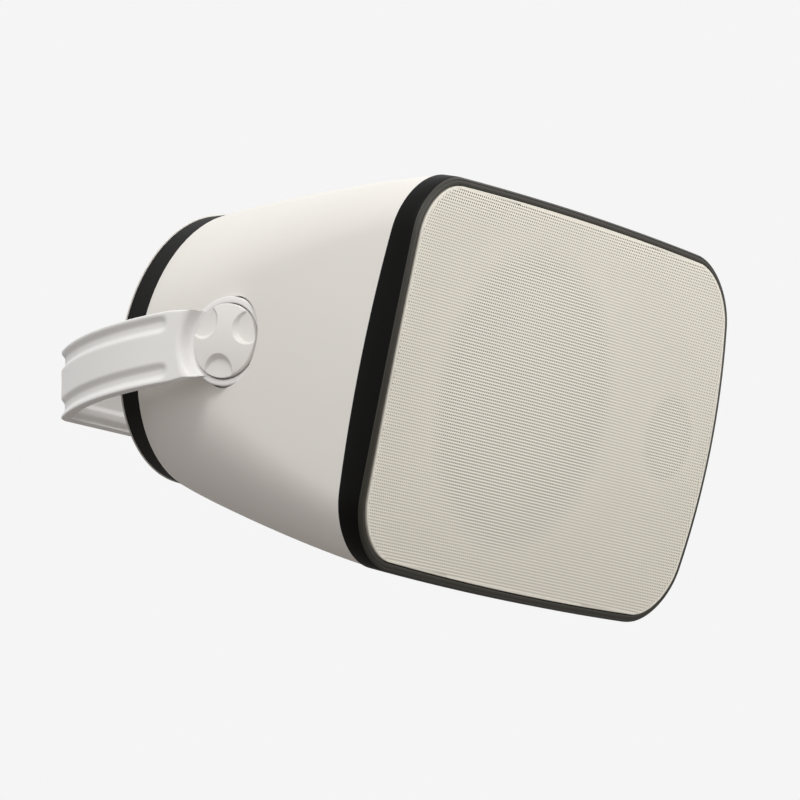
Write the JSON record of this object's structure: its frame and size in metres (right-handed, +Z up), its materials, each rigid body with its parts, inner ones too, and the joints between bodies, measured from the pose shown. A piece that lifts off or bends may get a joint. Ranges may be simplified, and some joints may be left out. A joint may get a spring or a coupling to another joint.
{
  "type": "loudspeaker",
  "caption": "Weatherproof wall loudspeaker: tapered off-white cabinet with a black rimmed rounded grille front, tilting between two hand knobs in a U bracket.",
  "frame": {"origin": "middle of the wall face of the bracket, on the middle wall hole", "axes": "-Y forwards from the wall, +X to the right hand side seen from the wall outwards along the crossbar, +Z up"},
  "size_m": [0.291, 0.2746, 0.2095],
  "materials": {
    "bracket_paint": "satin powder coat",
    "shell_plastic": "fine matt",
    "bezel_plastic": "fine matt",
    "grille_paint": "matt powder coat",
    "baffle_plastic": "matt",
    "screw_steel": "zinc plated",
    "frame_metal": "black coat",
    "gasket_rubber": "matt",
    "surround_rubber": "matt",
    "cone_plastic": "satin",
    "spider_cloth": "woven",
    "coil_metal": "wound wire",
    "iron": "machined",
    "ferrite": "matt",
    "tweeter_plastic": "satin",
    "dome_cloth": "coated",
    "wadding": "soft",
    "band_rubber": "matt",
    "board": "satin",
    "copper": "enamelled wire",
    "capacitor": "gloss",
    "transformer_steel": "varnished",
    "terminal_plastic": "satin",
    "gland_plastic": "satin",
    "brass": "turned",
    "washer_rubber": "matt",
    "stud_steel": "zinc plated",
    "knob_plastic": "fine matt"
  },
  "bodies": {
    "bracket": {"bracket": "bracket_paint"},
    "cabinet": {"cabinet_shell": "shell_plastic", "front_bezel": "bezel_plastic", "grille": "grille_paint", "baffle": "baffle_plastic", "baffle_screws": "screw_steel", "woofer_frame": "frame_metal", "woofer_gasket": "gasket_rubber", "woofer_surround": "surround_rubber", "woofer_spider": "spider_cloth", "woofer_top_plate": "iron", "woofer_magnet": "ferrite", "woofer_yoke": "iron", "woofer_screws": "screw_steel", "tweeter_plate": "tweeter_plastic", "tweeter_dome": "dome_cloth", "tweeter_magnet": "ferrite", "tweeter_screws": "screw_steel", "damping_pad": "wadding", "rear_band": "band_rubber", "rear_cover": "shell_plastic", "rear_cover_screws": "screw_steel", "crossover_board": "board", "crossover_inductor": "copper", "crossover_capacitors": "capacitor", "line_transformer": "transformer_steel", "terminal_block": "terminal_plastic", "cable_gland": "gland_plastic", "gland_seal": "gasket_rubber", "gland_cap": "gland_plastic", "gland_nut": "gland_plastic", "bush_left": "brass", "bush_right": "brass", "friction_washer_left": "washer_rubber", "friction_washer_right": "washer_rubber"},
    "knob_left": {"knob_left": "knob_plastic", "stud_left": "stud_steel"},
    "knob_right": {"knob_right": "knob_plastic", "stud_right": "stud_steel"},
    "cone": {"woofer_cone": "cone_plastic", "woofer_dust_cap": "cone_plastic", "woofer_voice_coil": "coil_metal"}
  },
  "joints": [
    {"name": "tilt", "type": "hinge", "parent": "bracket", "child": "cabinet", "pos_m": [0, -0.137, 0], "axis": [1, 0, 0], "range_deg": [-74, 46]},
    {"name": "knob_left_turn", "type": "hinge", "parent": "cabinet", "child": "knob_left", "pos_m": [-0.108, -0.137, 0], "axis": [1, 0, 0], "continuous": true},
    {"name": "knob_right_turn", "type": "hinge", "parent": "cabinet", "child": "knob_right", "pos_m": [0.108, -0.137, 0], "axis": [1, 0, 0], "continuous": true},
    {"name": "cone_travel", "type": "slide", "parent": "cabinet", "child": "cone", "axis": [0, 0.9703, 0.2419], "range_m": [-0.003, 0.003], "stiffness_N_per_m": 1000, "deforming": ["woofer_surround", "woofer_spider"]}
  ]
}
